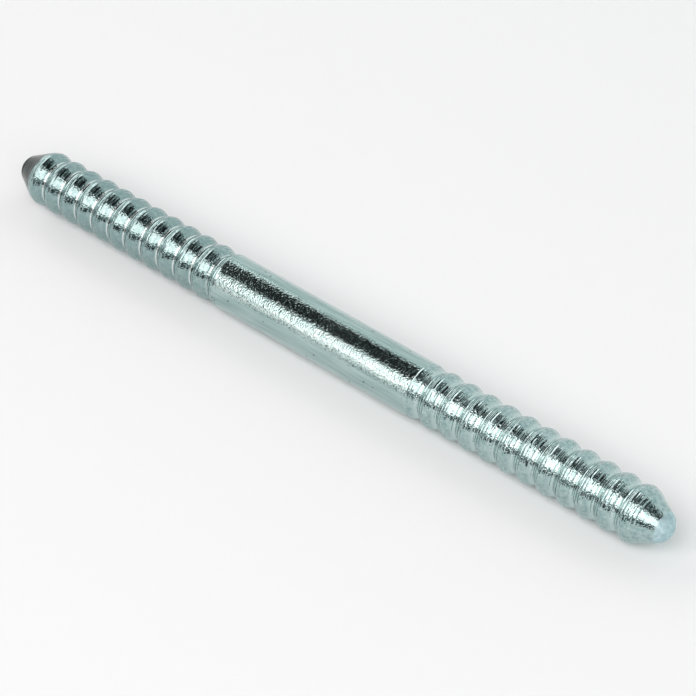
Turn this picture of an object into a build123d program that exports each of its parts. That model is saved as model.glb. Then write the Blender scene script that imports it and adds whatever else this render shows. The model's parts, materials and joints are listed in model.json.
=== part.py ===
from build123d import *
from math import acos, atan2, cos, degrees, hypot, sin
import os

# A double-ended ringed stud, turned in one piece from round steel rod: a plain shank between two
# ringed ends, each closed by a coned nose with a domed tip. It lies along X, its middle at the origin.

# Driving sizes in millimetres
crest_diameter = 8.0
shank_diameter = 7.9
shank_length = 34.8

# Rings, each with a groove on its shank side: from the narrow land on a crest a shallow bevel and
# then a steeper flank lead down to the bottom of the groove
rings_per_end = 11
ring_pitch = 3.2
crest_land = 0.4
groove_depth = 0.8
bevel_run_share = 0.55
bevel_depth_share = 0.35

# Nose, measured from the last crest land: beyond that ring's outer bevel a cone runs in until it
# touches the domed tip
nose_length = 4.9
tip_radius_share = 0.6

crest_radius = crest_diameter / 2
shank_radius = shank_diameter / 2
root_radius = crest_radius - groove_depth
bevel_radius = crest_radius - bevel_depth_share * groove_depth
groove_half_width = (ring_pitch - crest_land) / 2
bevel_run = bevel_run_share * groove_half_width
flank_run = groove_half_width - bevel_run
tip_radius = tip_radius_share * crest_radius

shank_end_x = shank_length / 2
first_groove_x = shank_end_x + groove_half_width
last_land_end_x = shank_end_x + rings_per_end * ring_pitch
cone_start_x = last_land_end_x + bevel_run
tip_x = last_land_end_x + nose_length
dome_x = tip_x - tip_radius

# The dome's centre sees the start of the cone at one angle and the point where the cone touches it at another
dome_to_cone = hypot(cone_start_x - dome_x, bevel_radius)
touch_angle = atan2(bevel_radius, cone_start_x - dome_x) - acos(tip_radius / dome_to_cone)
cone_end = (dome_x + tip_radius * cos(touch_angle), tip_radius * sin(touch_angle))


def ring_outline(groove_x):
    """Points along one ring, from its groove's inner flank to the outer end of its crest land."""
    land_x = groove_x + groove_half_width
    return [
        (groove_x - flank_run, bevel_radius),
        (groove_x, root_radius),
        (groove_x + flank_run, bevel_radius),
        (land_x, crest_radius),
        (land_x + crest_land, crest_radius),
    ]


def end_outline():
    """Points along one ringed end, from the end of the shank to the point where the cone touches the dome."""
    points = [(shank_end_x, shank_radius)]
    for number in range(rings_per_end):
        points += ring_outline(first_groove_x + number * ring_pitch)
    return points + [(cone_start_x, bevel_radius), cone_end]


def make_stud():
    """The section above the axis, both ends alike, turned about the axis into one solid."""
    right_end = end_outline()
    left_end = [(-x, radius) for x, radius in reversed(right_end)]
    dome = CenterArc((dome_x, 0), tip_radius, 0, degrees(touch_angle))
    axis_line = Line((-tip_x, 0), (tip_x, 0))
    outline = [Polyline(*left_end, *right_end), dome, mirror(dome, about=Plane.YZ), axis_line]
    return revolve(make_face(outline), Axis.X)


os.makedirs("parts", exist_ok=True)
export_step(make_stud(), "parts/ringed_stud.step")
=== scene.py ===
import json
from math import acos, atan2, cos, hypot, pi, radians, sin

import bpy
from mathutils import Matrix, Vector


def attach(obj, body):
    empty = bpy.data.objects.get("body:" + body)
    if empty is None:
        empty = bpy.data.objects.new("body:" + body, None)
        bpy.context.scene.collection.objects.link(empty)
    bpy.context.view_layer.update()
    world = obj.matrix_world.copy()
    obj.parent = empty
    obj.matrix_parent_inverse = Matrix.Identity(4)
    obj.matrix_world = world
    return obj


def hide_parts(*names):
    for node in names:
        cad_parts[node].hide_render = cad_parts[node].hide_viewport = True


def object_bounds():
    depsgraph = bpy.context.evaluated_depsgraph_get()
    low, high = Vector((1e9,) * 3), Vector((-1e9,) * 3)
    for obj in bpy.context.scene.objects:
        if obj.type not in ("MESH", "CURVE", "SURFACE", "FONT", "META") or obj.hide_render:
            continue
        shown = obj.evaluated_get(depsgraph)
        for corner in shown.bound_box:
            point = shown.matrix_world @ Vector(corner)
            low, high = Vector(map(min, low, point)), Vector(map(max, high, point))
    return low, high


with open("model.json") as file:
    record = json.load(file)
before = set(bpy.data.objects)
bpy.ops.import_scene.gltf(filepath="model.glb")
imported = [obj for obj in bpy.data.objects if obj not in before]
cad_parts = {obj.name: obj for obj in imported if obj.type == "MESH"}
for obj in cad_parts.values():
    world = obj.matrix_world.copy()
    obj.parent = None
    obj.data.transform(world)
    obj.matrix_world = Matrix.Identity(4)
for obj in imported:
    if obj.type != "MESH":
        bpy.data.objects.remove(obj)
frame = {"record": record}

cad_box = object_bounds()

# Sizes in metres: the record's mounts give the main ones, and the others repeat the part's own sizes
MM = 0.001
mount_sizes = {mount["name"]: mount["dims"] for mount in frame["record"]["mounts"]}
crest_radius = mount_sizes["ringed_ends"]["r_mm"] * MM
last_land_end_x = mount_sizes["ringed_ends"]["length_mm"] * MM / 2
shank_radius = mount_sizes["shank"]["r_mm"] * MM
shank_end_x = mount_sizes["shank"]["length_mm"] * MM / 2
tip_x = cad_box[1].x

rings_per_end = 11
ring_pitch = (last_land_end_x - shank_end_x) / rings_per_end
crest_land = 0.4 * MM
groove_depth = 0.8 * MM
bevel_run_share = 0.55
bevel_depth_share = 0.35
tip_radius_share = 0.6

root_radius = crest_radius - groove_depth
bevel_radius = crest_radius - bevel_depth_share * groove_depth
groove_half_width = (ring_pitch - crest_land) / 2
bevel_run = bevel_run_share * groove_half_width
flank_run = groove_half_width - bevel_run
flank_slope = (bevel_radius - root_radius) / flank_run
cone_start_x = last_land_end_x + bevel_run
tip_radius = tip_radius_share * crest_radius
dome_x = tip_x - tip_radius

# The dome's centre sees the start of the cone at one angle and the point where the cone touches it at another
dome_to_cone = hypot(cone_start_x - dome_x, bevel_radius)
touch_angle = atan2(bevel_radius, cone_start_x - dome_x) - acos(tip_radius / dome_to_cone)
cone_end = (dome_x + tip_radius * cos(touch_angle), tip_radius * sin(touch_angle))

# How far the rounding of a corner reaches along the shank, the cone and the groove's flanks
corner_reach = 0.3 * MM
groove_round = 0.1 * MM
corner_cuts = 2
dome_steps = 14
sides_around = 112


def ring_outline(groove_x):
    """Corner points of one ring, from its groove's inner flank to the outer end of its crest land."""
    land_x = groove_x + groove_half_width
    eased_radius = root_radius + flank_slope * groove_round
    return [
        (groove_x - flank_run, bevel_radius),
        (groove_x - groove_round, eased_radius),
        (groove_x, root_radius),
        (groove_x + groove_round, eased_radius),
        (groove_x + flank_run, bevel_radius),
        (land_x, crest_radius),
        (land_x + crest_land, crest_radius),
    ]


def round_over(points):
    """Cuts the corners of an outline at a quarter of each edge, time and again, which leaves it smooth."""
    for _ in range(corner_cuts):
        cut = [points[0]]
        for (x, radius), (next_x, next_radius) in zip(points, points[1:]):
            cut.append((0.75 * x + 0.25 * next_x, 0.75 * radius + 0.25 * next_radius))
            cut.append((0.25 * x + 0.75 * next_x, 0.25 * radius + 0.75 * next_radius))
        points = cut + [points[-1]]
    return points


def end_outline():
    """Outline of one end, from the shank to the tip: rounded rings, then the cone and the dome it touches."""
    cone_length = hypot(cone_end[0] - cone_start_x, cone_end[1] - bevel_radius)
    eased = corner_reach / cone_length
    corners = [(shank_end_x - corner_reach, shank_radius), (shank_end_x, shank_radius)]
    for number in range(rings_per_end):
        corners += ring_outline(shank_end_x + groove_half_width + number * ring_pitch)
    corners.append((cone_start_x, bevel_radius))
    corners.append((
        cone_start_x + eased * (cone_end[0] - cone_start_x),
        bevel_radius + eased * (cone_end[1] - bevel_radius),
    ))
    dome = []
    for step in range(dome_steps + 1):
        angle = touch_angle * (1 - step / dome_steps)
        dome.append((dome_x + tip_radius * cos(angle), tip_radius * sin(angle)))
    return round_over(corners) + dome


def turned_mesh(name, outline):
    """A closed mesh turned about X from outline points (x, radius) that begin and end on the axis."""
    first, *between, last = outline
    vertices = [(first[0], 0, 0), (last[0], 0, 0)]
    for x, radius in between:
        for side in range(sides_around):
            angle = 2 * pi * side / sides_around
            vertices.append((x, radius * cos(angle), radius * sin(angle)))
    faces = []
    for side in range(sides_around):
        here = 2 + side
        beside = 2 + (side + 1) % sides_around
        last_row = (len(between) - 1) * sides_around
        faces.append((0, beside, here))
        faces.append((1, here + last_row, beside + last_row))
        for row in range(0, last_row, sides_around):
            faces.append((here + row, beside + row, beside + row + sides_around, here + row + sides_around))
    mesh = bpy.data.meshes.new(name)
    mesh.from_pydata(vertices, [], faces)
    mesh.shade_smooth()
    mesh.validate()
    return mesh


def make_stud():
    """The stud with its rings rounded over, in place of the plain solid."""
    right_end = end_outline()
    left_end = [(-x, radius) for x, radius in reversed(right_end)]
    stud = bpy.data.objects.new("stud", turned_mesh("stud", left_end + right_end))
    bpy.context.scene.collection.objects.link(stud)
    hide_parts("ringed_stud")
    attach(stud, "root")
    return stud


def linear(code):
    """An sRGB hex colour as linear red, green and blue, with full alpha."""
    shares = [int(code[place:place + 2], 16) / 255 for place in (0, 2, 4)]
    return [s / 12.92 if s <= 0.04045 else ((s + 0.055) / 1.055) ** 2.4 for s in shares] + [1]


def add(tree, kind, inputs=None, **settings):
    """Adds a node to a tree with its settings, and gives each named input its value or the socket it links to."""
    made = tree.nodes.new(kind)
    for name, value in settings.items():
        setattr(made, name, value)
    for name, value in (inputs or {}).items():
        if isinstance(value, bpy.types.NodeSocket):
            tree.links.new(value, made.inputs[name])
        else:
            made.inputs[name].default_value = value
    return made


def new_material(name):
    """An empty node material and its tree."""
    material = bpy.data.materials.new(name)
    material.use_nodes = True
    material.node_tree.nodes.clear()
    return material, material.node_tree


# What the zinc plate's surface shows, in millimetres. The feed marks and the grain are drawn coarser and
# higher than on a real stud, so that they show in the render.
feed_mark_spacing = 0.5
right_feed_mark_height = 0.15
left_feed_mark_height = 0.08
feed_mark_length = 1.2
grain_size = 0.25
grain_height = 0.038
ripple_size = 1.6
ripple_height = 0.02
mottle_size = 0.5
streak_length = 6.0
pit_spacing = 1.2
pit_radius = 0.16
pit_core_radius = 0.096
groove_bottom_height = 0.16
groove_bottom_core = 0.04
# Patch size and edge spread of the painted dark reflection on the left nose
painted_nose_shade_patch = 2.5
painted_nose_shade_edge = 2.0
blend_width = 0.3

# The plate's colours, a darker and a lighter tone for each part, and those of the marks on it, among them pale
# painted highlights for the grooves and a painted dark reflection for the left nose
shank_tones = ("98B2B0", "B6CBC8")
ring_tones = ("8EABAB", "BACFCD")
dome_tones = ("A4C4C9", "CCE3E7")
# Pale tones painted into the grooves as painted highlights, not the plate's own colour
left_groove_highlight_tone = "E2ECEA"
right_groove_highlight_tone = "C0D4D2"
left_end_tone = "7C9696"
left_end_share = 0.5
pit_tone = "3A4644"
# Dark tone painted on the left nose as a painted dark reflection
painted_nose_shade_tone = "2A3533"
plate_roughness = 0.1
dome_roughness = 0.6

# Values of the mottle and streak patterns at which the darker and the lighter tone are reached
darker_tone_at = 0.3
lighter_tone_at = 0.7


def bright_zinc():
    """Bright zinc electroplate on turned steel: a mirror with a blue-green cast and a fine crystal grain.

    The ringed ends come off a lathe, so feed marks run round them and break the reflections into short
    bright and dark bars; the plate on them is mottled. The shank is the drawn rod itself: greyer, with
    faint streaks along it and a few pits. The domed tips are left rough, so the plate is dull there. Pale
    lines are painted into the grooves as a painted highlight. The left end is a little darker, with fainter
    feed marks and the painted highlight only at the bottoms of its grooves, and its nose is painted dark
    as a painted dark reflection.
    """
    material, tree = new_material("bright_zinc_plate")
    place = add(tree, "ShaderNodeTexCoord").outputs["Object"]
    in_mm = add(tree, "ShaderNodeVectorMath", {0: place, "Scale": 1 / MM}, operation="SCALE").outputs[0]
    along = add(tree, "ShaderNodeSeparateXYZ", {0: in_mm}).outputs["X"]
    from_middle = add(tree, "ShaderNodeMath", {0: along}, operation="ABSOLUTE").outputs[0]
    off_axis = add(tree, "ShaderNodeVectorMath", {0: in_mm, 1: (0, 1, 1)}, operation="MULTIPLY").outputs[0]
    radius = add(tree, "ShaderNodeVectorMath", {0: off_axis}, operation="LENGTH").outputs["Value"]
    # Noise that gives the painted dark reflection on the left nose a ragged edge
    patches = add(tree, "ShaderNodeTexNoise", {"Vector": in_mm, "Scale": 1 / painted_nose_shade_patch}).outputs["Fac"]
    ragged = add(tree, "ShaderNodeMath", {
        0: patches, 1: painted_nose_shade_edge, 2: along,
    }, operation="MULTIPLY_ADD").outputs[0]

    # Zones, each 0 at the first place and 1 at the second
    shank_end = shank_end_x / MM
    dome_start = cone_end[0] / MM
    groove_bottom = root_radius / MM
    painted_nose_shade_start = painted_nose_shade_edge / 2 - cone_start_x / MM
    zones = {}
    for zone, value, outside, inside in (
        ("shank", from_middle, shank_end, shank_end - blend_width),
        ("rings", from_middle, shank_end - blend_width, shank_end),
        ("before_dome", from_middle, dome_start, dome_start - blend_width),
        ("dome", from_middle, dome_start - blend_width, dome_start),
        ("above_groove", radius, groove_bottom, groove_bottom + blend_width),
        ("groove_bottoms", radius, groove_bottom + groove_bottom_height, groove_bottom + groove_bottom_core),
        ("flanks", radius, bevel_radius / MM, bevel_radius / MM - blend_width),
        ("before_cone", from_middle, cone_start_x / MM, cone_start_x / MM - blend_width),
        ("right_end", along, shank_end, shank_end + blend_width),
        ("left_end", along, -shank_end, -shank_end - ring_pitch / MM),
        # Where the painted dark reflection on the left nose begins
        ("left_nose", ragged, painted_nose_shade_start + blend_width, painted_nose_shade_start - blend_width),
    ):
        zones[zone] = add(tree, "ShaderNodeMapRange", {
            "Value": value, "From Min": outside, "From Max": inside,
        }).outputs[0]

    # Relief: feed marks on the rings, the grain and a slow ripple
    feed_marks = add(tree, "ShaderNodeTexWave", {
        "Vector": in_mm,
        "Scale": 2 * pi / (20 * feed_mark_spacing),
        "Distortion": 1.0,
        "Detail": 1.0,
        "Detail Scale": 1.0,
    }, bands_direction="X").outputs["Fac"]
    marks = add(tree, "ShaderNodeTexNoise", {
        "Vector": in_mm, "Scale": 1 / feed_mark_length, "Detail": 2.0,
    }).outputs["Fac"]
    for share in (feed_marks, zones["rings"], zones["before_dome"], zones["above_groove"]):
        marks = add(tree, "ShaderNodeMath", {0: marks, 1: share}, operation="MULTIPLY").outputs[0]
    grain = add(tree, "ShaderNodeTexNoise", {"Vector": in_mm, "Scale": 1 / grain_size, "Detail": 1.0}).outputs["Fac"]
    ripple = add(tree, "ShaderNodeTexNoise", {"Vector": in_mm, "Scale": 1 / ripple_size}).outputs["Fac"]
    feed_mark_height = add(tree, "ShaderNodeMapRange", {
        "Value": zones["left_end"], "To Min": right_feed_mark_height, "To Max": left_feed_mark_height,
    }).outputs[0]
    height = 0.0
    for pattern, pattern_height in ((marks, feed_mark_height), (grain, grain_height), (ripple, ripple_height)):
        height = add(tree, "ShaderNodeMath", {
            0: pattern, 1: pattern_height, 2: height,
        }, operation="MULTIPLY_ADD").outputs[0]
    relief = add(tree, "ShaderNodeBump", {"Height": height, "Distance": MM, "Strength": 1.0}).outputs[0]

    # Tone: mottled on the ends, streaked along the shank
    mottle = add(tree, "ShaderNodeTexNoise", {
        "Vector": in_mm, "Scale": 1 / mottle_size, "Detail": 3.0,
    }).outputs["Fac"]
    drawn_out = add(tree, "ShaderNodeVectorMath", {
        0: in_mm, 1: (mottle_size / streak_length, 1, 1),
    }, operation="MULTIPLY").outputs[0]
    streaks = add(tree, "ShaderNodeTexNoise", {"Vector": drawn_out, "Scale": 1 / mottle_size}).outputs["Fac"]
    pattern = add(tree, "ShaderNodeMix", {0: zones["rings"], 2: streaks, 3: mottle}).outputs[0]
    tone = add(tree, "ShaderNodeMapRange", {
        "Value": pattern, "From Min": darker_tone_at, "From Max": lighter_tone_at,
    }).outputs[0]
    on_shank, on_rings, on_dome = [
        add(tree, "ShaderNodeMix", {0: tone, 6: linear(darker), 7: linear(lighter)}, data_type="RGBA").outputs[2]
        for darker, lighter in (shank_tones, ring_tones, dome_tones)
    ]

    # Marks that lie over the tone, among them painted highlights in the grooves and a painted dark reflection on the
    # left nose
    pit_distance = add(tree, "ShaderNodeTexVoronoi", {"Vector": in_mm, "Scale": 1 / pit_spacing}).outputs["Distance"]
    pits = add(tree, "ShaderNodeMapRange", {
        "Value": pit_distance,
        "From Min": pit_radius / pit_spacing,
        "From Max": pit_core_radius / pit_spacing,
    }).outputs[0]
    pits = add(tree, "ShaderNodeMath", {0: pits, 1: zones["shank"]}, operation="MULTIPLY").outputs[0]
    # Painted highlights: pale lines at the left end's groove bottoms and in the right end's grooves below the bevels
    painted_groove_highlights = []
    for highlight_part, end in (("groove_bottoms", "left_end"), ("flanks", "right_end")):
        share = zones["before_cone"]
        for zone in (highlight_part, end):
            share = add(tree, "ShaderNodeMath", {0: share, 1: zones[zone]}, operation="MULTIPLY").outputs[0]
        painted_groove_highlights.append(share)
    left_groove_highlights, right_groove_highlights = painted_groove_highlights
    dulled = add(tree, "ShaderNodeMath", {0: zones["left_end"], 1: left_end_share}, operation="MULTIPLY").outputs[0]

    colour = on_shank
    for share, next_colour in (
        (zones["rings"], on_rings),
        (zones["dome"], on_dome),
        (dulled, linear(left_end_tone)),
        # The painted groove highlights
        (left_groove_highlights, linear(left_groove_highlight_tone)),
        (right_groove_highlights, linear(right_groove_highlight_tone)),
        (pits, linear(pit_tone)),
        # The left nose painted dark: a painted dark reflection
        (zones["left_nose"], linear(painted_nose_shade_tone)),
    ):
        colour = add(tree, "ShaderNodeMix", {0: share, 6: colour, 7: next_colour}, data_type="RGBA").outputs[2]
    roughness = add(tree, "ShaderNodeMapRange", {
        "Value": zones["dome"], "To Min": plate_roughness, "To Max": dome_roughness,
    }).outputs[0]
    shader = add(tree, "ShaderNodeBsdfPrincipled", {
        "Base Color": colour, "Metallic": 1.0, "Roughness": roughness, "Normal": relief,
    })
    add(tree, "ShaderNodeOutputMaterial", {"Surface": shader.outputs["BSDF"]})
    return material


# Studio, in metres
matt_roughness = 0.9
floor_half_width = 4.0
floor_colour = "F3F8F9"
card_colour = "0C0E0E"
lamp_colour = "FFF2F1"

# The room's front colour passes into its back colour between two values of a direction's Y
studio_front_colour = "989F9F"
studio_back_colour = "ECF1F1"
studio_front_ends = -0.1
studio_back_starts = 0.4

# The lamps and cards stand further off than the cameras of the other views. A lamp faces the point it is
# aimed at, and its brightness is that of a white surface in plain light. The strip along the front is in
# three parts, and the gap before the left one darkens some of the rings' bars. A card is given by two
# opposite corners.
strip_y = -1.574
strip_z = 1.812
strip_height = 2.14
softboxes = {
    "right_strip_softbox": {
        "place": (2.76, strip_y, strip_z), "aim": (2.76, 0, 0),
        "width": 8.0, "height": strip_height, "brightness": 2.2,
    },
    "middle_strip_softbox": {
        "place": (-1.42, strip_y, strip_z), "aim": (-1.42, 0, 0),
        "width": 0.36, "height": strip_height, "brightness": 1.3,
    },
    "left_strip_softbox": {
        "place": (-5.1, strip_y, strip_z), "aim": (-5.1, 0, 0),
        "width": 3.4, "height": strip_height, "brightness": 1.3,
    },
    "front_left_softbox": {
        "place": (-0.71, -1.13, 0.62), "aim": (0, 0, 0),
        "width": 0.3, "height": 1.15, "brightness": 1.6,
    },
    "left_softbox": {
        "place": (-1.29, 0.18, 0.75), "aim": (0, 0, 0),
        "width": 1.5, "height": 0.87, "brightness": 1.6,
    },
}
black_cards = {
    "left_ceiling_card": ((-0.55, -0.37, 0.62), (-0.23, 0.37, 0.62)),
    "middle_ceiling_card": ((-0.1, -0.33, 0.9), (0.62, 0.54, 0.9)),
    "right_ceiling_card": ((0.74, -0.33, 0.9), (1.12, 0.54, 0.9)),
    "front_card": ((-0.5, -1.5, -crest_radius), (1.4, -1.5, 0.36)),
    "front_left_card": ((-1.8, -1.5, -crest_radius), (-0.98, -1.5, 0.5)),
}


def plain_matt(name, code):
    """A matt sheet in one even colour, for the floor and the cards around the stud."""
    material, tree = new_material(name)
    shader = add(tree, "ShaderNodeBsdfPrincipled", {"Base Color": linear(code), "Roughness": matt_roughness})
    add(tree, "ShaderNodeOutputMaterial", {"Surface": shader.outputs["BSDF"]})
    return material


def add_sheet(name, low, high, material):
    """A flat sheet between two opposite corners, either level or upright along X, that stands in the studio."""
    corners = [low, (high[0], low[1], low[2]), high, (low[0], high[1], high[2])]
    mesh = bpy.data.meshes.new(name)
    mesh.from_pydata(corners, [], [(0, 1, 2, 3)])
    sheet = bpy.data.objects.new(name, mesh)
    sheet.data.materials.append(material)
    bpy.context.scene.collection.objects.link(sheet)


def add_softbox(name, place, aim, width, height, brightness):
    """A soft lamp that faces the point it is aimed at."""
    data = bpy.data.lights.new(name, "AREA")
    data.shape = "RECTANGLE"
    data.size = width
    data.size_y = height
    data.energy = brightness * pi * width * height
    data.color = linear(lamp_colour)[:3]
    lamp = bpy.data.objects.new(name, data)
    lamp.location = place
    lamp.rotation_euler = (Vector(aim) - Vector(place)).to_track_quat("-Z", "Y").to_euler()
    bpy.context.scene.collection.objects.link(lamp)


def make_studio():
    """A white table that the rings' crests touch, soft lamps, black cards and a room palest behind the stud."""
    w = floor_half_width
    floor_paper = plain_matt("white_table_paper", floor_colour)
    card = plain_matt("black_matt_card", card_colour)
    add_sheet("floor", (-w, -w, -crest_radius), (w, w, -crest_radius), floor_paper)
    for name, (low, high) in black_cards.items():
        add_sheet(name, low, high, card)
    for name, lamp in softboxes.items():
        add_softbox(name, **lamp)
    world = bpy.data.worlds.new("studio")
    world.use_nodes = True
    tree = world.node_tree
    tree.nodes.clear()
    direction = add(tree, "ShaderNodeTexCoord").outputs["Generated"]
    to_back = add(tree, "ShaderNodeSeparateXYZ", {0: direction}).outputs["Y"]
    back = add(tree, "ShaderNodeMapRange", {
        "Value": to_back, "From Min": studio_front_ends, "From Max": studio_back_starts,
    }).outputs[0]
    colour = add(tree, "ShaderNodeMix", {
        0: back, 6: linear(studio_front_colour), 7: linear(studio_back_colour),
    }, data_type="RGBA").outputs[2]
    shade = add(tree, "ShaderNodeBackground", {"Color": colour, "Strength": 1.0})
    add(tree, "ShaderNodeOutputWorld", {"Surface": shade.outputs["Background"]})
    bpy.context.scene.world = world


# Camera: a long lens that looks down on the stud from the side of its +X end
photo_width_px = 696
focal_length_px = 2889
sensor_width_mm = 36.0
camera_distance = 383.9 * MM
camera_azimuth = radians(41.43)
camera_elevation = radians(40.12)
aim_point = Vector((4.05 * MM, 0, 0))


def make_camera():
    """The camera at the photograph's viewing angle and framing."""
    data = bpy.data.cameras.new("camera")
    data.sensor_width = sensor_width_mm
    data.lens = sensor_width_mm * focal_length_px / photo_width_px
    camera = bpy.data.objects.new("camera", data)
    camera.location = aim_point + camera_distance * Vector((
        sin(camera_azimuth) * cos(camera_elevation),
        -cos(camera_azimuth) * cos(camera_elevation),
        sin(camera_elevation),
    ))
    camera.rotation_euler = (aim_point - camera.location).to_track_quat("-Z", "Y").to_euler()
    bpy.context.scene.collection.objects.link(camera)
    bpy.context.scene.camera = camera


stud = make_stud()
stud.data.materials.append(bright_zinc())
make_studio()
make_camera()
bpy.context.scene.view_settings.view_transform = "Standard"
